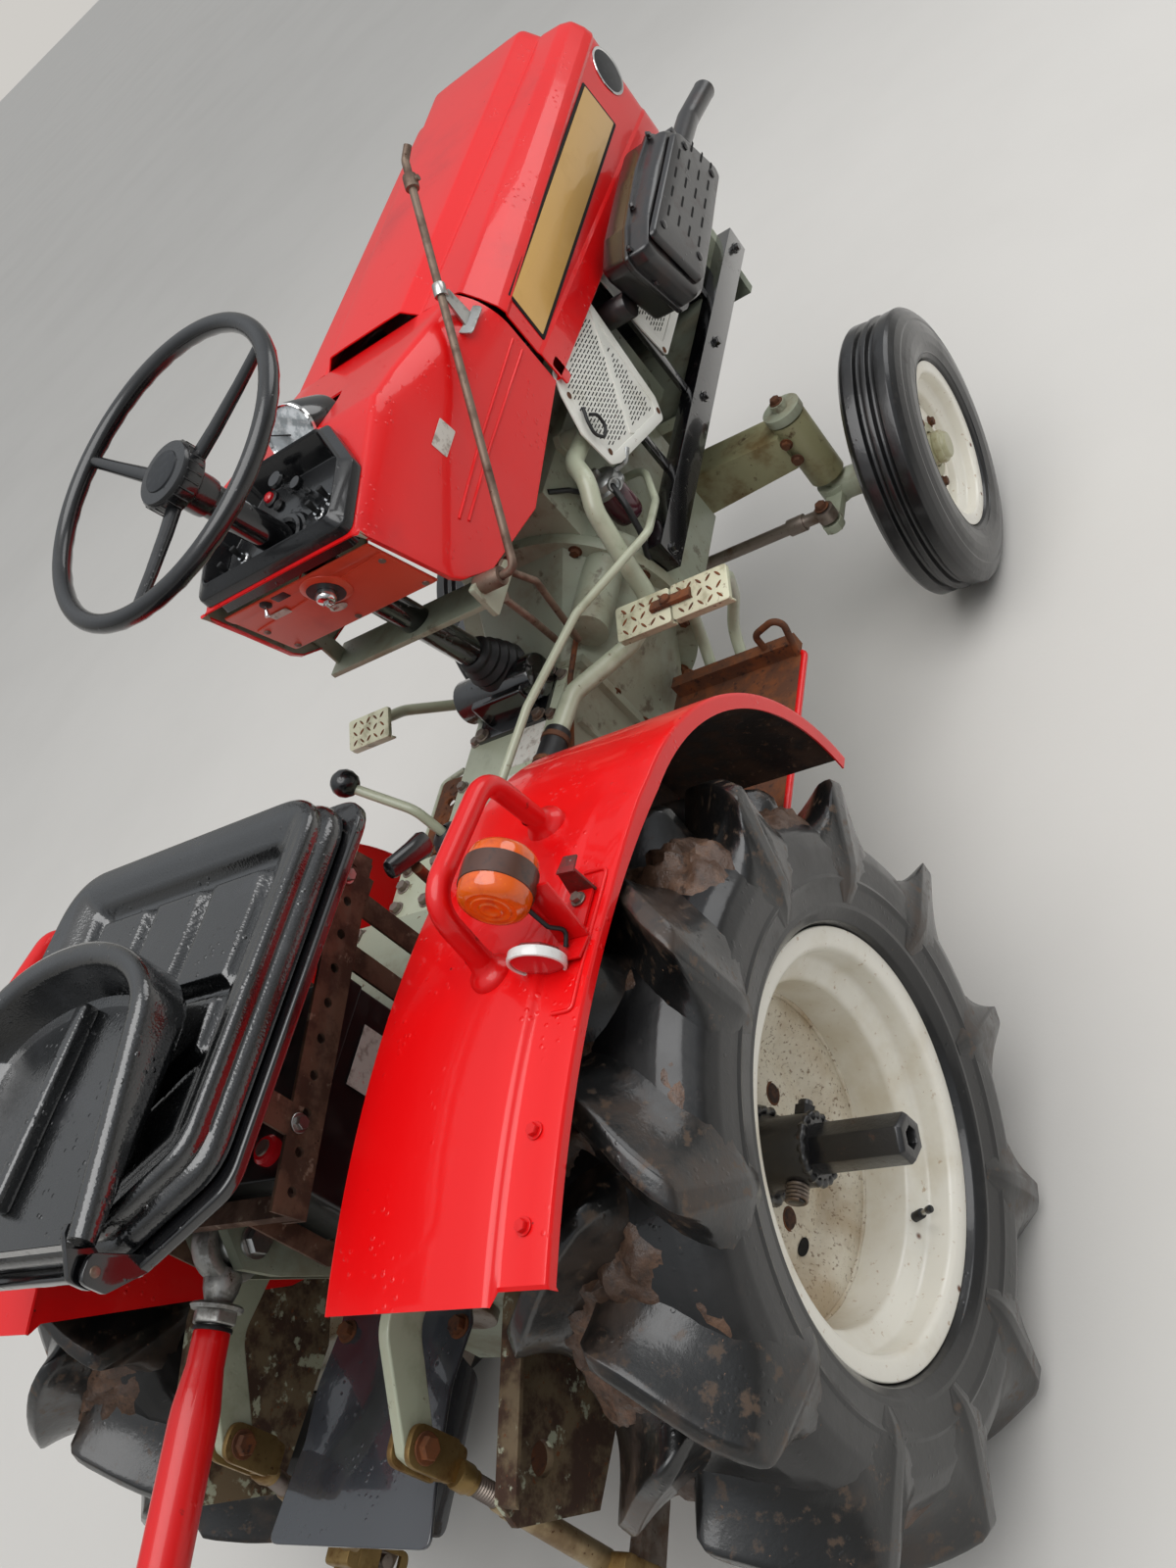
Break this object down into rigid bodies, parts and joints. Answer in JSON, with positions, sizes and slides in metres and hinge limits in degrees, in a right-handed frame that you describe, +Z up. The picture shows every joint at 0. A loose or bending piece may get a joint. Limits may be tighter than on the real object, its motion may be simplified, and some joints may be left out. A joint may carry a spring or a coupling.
{
  "type": "farm tractor",
  "caption": "compact farm tractor with hinged hood, open seat platform, lugged rear wheels, steered front wheels and a rear three-point lift",
  "frame": {"origin": "on the ground at the middle of the footprint, under the machine's middle", "axes": "+X forward, +Y to the driver's left, +Z up"},
  "size_m": [2.5087, 1.084, 1.2355],
  "materials": {
    "red_sheet": "glossy bright red paint on sheet steel, wet looking, light scratches",
    "orange_sheet": "faded orange-red paint on sheet steel",
    "white_sheet": "ivory white paint with rust specks",
    "casting_green": "pale grey-green paint on castings, oil and dirt stains, rust at edges",
    "engine_grey": "oily grey-green engine paint",
    "black_frame": "satin black paint on steel",
    "black_plastic": "black moulded plastic, slightly glossy",
    "black_vinyl": "glossy wet black vinyl over foam",
    "tyre_rubber": "black rubber, wet, mud between the lugs",
    "rusty_steel": "rusted steel with remains of grey paint",
    "bare_steel": "dull bare steel with brown patina",
    "lamp_glass": "clear fluted lens over a bright reflector",
    "amber_lens": "amber moulded lens"
  },
  "bodies": {
    "chassis": {"transmission_case": "casting_green", "clutch_housing": "casting_green", "engine_block": "engine_grey", "rear_axle_housing": "casting_green", "lift_housing": "casting_green", "frame_rails": "black_frame", "front_bolster": "black_frame", "front_axle_beam": "casting_green", "radiator": "black_frame", "fuel_tank": "black_frame", "side_grilles": "white_sheet", "hood_frame": "black_frame", "cowl_brackets": "casting_green", "muffler": "black_frame", "cowl": "red_sheet", "dash_panel": "black_plastic", "rear_fascia": "orange_sheet", "steering_column": "black_frame", "turn_lamps": "amber_lens", "footboards": "rusty_steel", "seat_frame": "rusty_steel", "seat_pan": "black_vinyl", "battery": "black_plastic", "pedals": "casting_green", "control_levers": "casting_green", "hydraulic_pipes": "casting_green", "drawbar": "rusty_steel", "hitch_plates": "rusty_steel", "pto_shaft": "bare_steel", "pto_shield": "black_plastic", "fender_right": "red_sheet", "fender_left": "red_sheet"},
    "steering_wheel": {"steering_wheel": "black_plastic"},
    "hood": {"hood": "red_sheet", "nose_grille": "black_plastic", "headlamps": "lamp_glass"},
    "hood_stay": {"hood_stay": "bare_steel"},
    "backrest": {"seat_backrest": "black_vinyl"},
    "lift_arms": {"lift_arms": "casting_green"},
    "top_link": {"top_link": "red_sheet"},
    "tie_rod": {"tie_rod": "bare_steel"},
    "knuckle_right": {"knuckle_right": "casting_green"},
    "front_wheel_right": {"front_rim_right": "white_sheet", "front_tyre_right": "tyre_rubber"},
    "rear_wheel_right": {"rear_rim_right": "white_sheet", "rear_tyre_right": "tyre_rubber"},
    "lift_rod_right": {"lift_rod_right": "bare_steel"},
    "lower_link_right": {"lower_link_right": "casting_green"},
    "knuckle_left": {"knuckle_left": "casting_green"},
    "front_wheel_left": {"front_rim_left": "white_sheet", "front_tyre_left": "tyre_rubber"},
    "rear_wheel_left": {"rear_rim_left": "white_sheet", "rear_tyre_left": "tyre_rubber"},
    "lift_rod_left": {"lift_rod_left": "bare_steel"},
    "lower_link_left": {"lower_link_left": "casting_green"}
  },
  "joints": [
    {"name": "hood_hinge", "type": "hinge", "parent": "chassis", "child": "hood", "pos_m": [1.1596, 0, 0.806], "axis": [0, 1, 0], "range_deg": [0, 30]},
    {"name": "hood_stay_swing", "type": "hinge", "parent": "chassis", "child": "hood_stay", "pos_m": [0.0416, -0.21, 0.817], "axis": [0, -1, 0], "range_deg": [0, 25]},
    {"name": "steering_wheel_turn", "type": "hinge", "parent": "chassis", "child": "steering_wheel", "pos_m": [-0.0304, 0, 1.172], "axis": [-0.2756, 0, 0.9613], "range_deg": [-490, 490]},
    {"name": "knuckle_left_steer", "type": "hinge", "parent": "chassis", "child": "knuckle_left", "pos_m": [0.7706, 0.27, 0.27], "axis": [0, 0, 1], "range_deg": [-40, 40]},
    {"name": "knuckle_right_steer", "type": "hinge", "parent": "chassis", "child": "knuckle_right", "pos_m": [0.7706, -0.27, 0.27], "axis": [0, 0, 1], "range_deg": [-41, 41]},
    {"name": "tie_rod_swing", "type": "hinge", "parent": "knuckle_left", "child": "tie_rod", "pos_m": [0.6756, 0.27, 0.27], "axis": [0, 0, 1], "range_deg": [-41, 41]},
    {"name": "front_wheel_right_spin", "type": "hinge", "parent": "knuckle_right", "child": "front_wheel_right", "pos_m": [0.7706, -0.431, 0.23767], "axis": [0, 0.9986, 0.0523], "continuous": true},
    {"name": "front_wheel_left_spin", "type": "hinge", "parent": "knuckle_left", "child": "front_wheel_left", "pos_m": [0.7706, 0.431, 0.23767], "axis": [0, 0.9986, -0.0523], "continuous": true},
    {"name": "rear_wheel_right_spin", "type": "hinge", "parent": "chassis", "child": "rear_wheel_right", "pos_m": [-0.5404, -0.412, 0.395], "axis": [0, 1, 0], "continuous": true},
    {"name": "rear_wheel_left_spin", "type": "hinge", "parent": "chassis", "child": "rear_wheel_left", "pos_m": [-0.5404, 0.412, 0.395], "axis": [0, 1, 0], "continuous": true},
    {"name": "lift_arms_lift", "type": "hinge", "parent": "chassis", "child": "lift_arms", "pos_m": [-0.6304, 0, 0.612], "axis": [0, 1, 0], "range_deg": [-20, 25]},
    {"name": "lift_rod_right_swing", "type": "hinge", "parent": "lift_arms", "child": "lift_rod_right", "pos_m": [-0.8804, -0.134, 0.567], "axis": [0, 1, 0], "range_deg": [-32, 26]},
    {"name": "lift_rod_left_swing", "type": "hinge", "parent": "lift_arms", "child": "lift_rod_left", "pos_m": [-0.8804, 0.134, 0.567], "axis": [0, 1, 0], "range_deg": [-32, 26]},
    {"name": "lower_link_right_lift", "type": "hinge", "parent": "chassis", "child": "lower_link_right", "pos_m": [-0.6004, -0.15, 0.235], "axis": [0, 1, 0], "range_deg": [-16, 20]},
    {"name": "lower_link_left_lift", "type": "hinge", "parent": "chassis", "child": "lower_link_left", "pos_m": [-0.6004, 0.15, 0.235], "axis": [0, 1, 0], "range_deg": [-16, 20]},
    {"name": "top_link_swing", "type": "hinge", "parent": "chassis", "child": "top_link", "pos_m": [-0.7454, 0, 0.745], "axis": [0, 1, 0], "range_deg": [-20, 20]},
    {"name": "backrest_fold", "type": "hinge", "parent": "chassis", "child": "backrest", "pos_m": [-0.8584, 0, 0.952], "axis": [0, -1, 0], "range_deg": [0, 95]}
  ],
  "couplings": [
    {"joint": "hood_stay_swing", "follows": "hood_hinge", "ratio": 0.7},
    {"joint": "knuckle_right_steer", "follows": "knuckle_left_steer", "ratio": 1},
    {"joint": "tie_rod_swing", "follows": "knuckle_left_steer", "ratio": -1},
    {"joint": "steering_wheel_turn", "follows": "knuckle_left_steer", "ratio": 12},
    {"joint": "lift_rod_right_swing", "follows": "lift_arms_lift", "ratio": -1.2148},
    {"joint": "lift_rod_left_swing", "follows": "lift_arms_lift", "ratio": -1.2148},
    {"joint": "lower_link_right_lift", "follows": "lift_arms_lift", "ratio": 0.7542},
    {"joint": "lower_link_left_lift", "follows": "lift_arms_lift", "ratio": 0.7542}
  ]
}
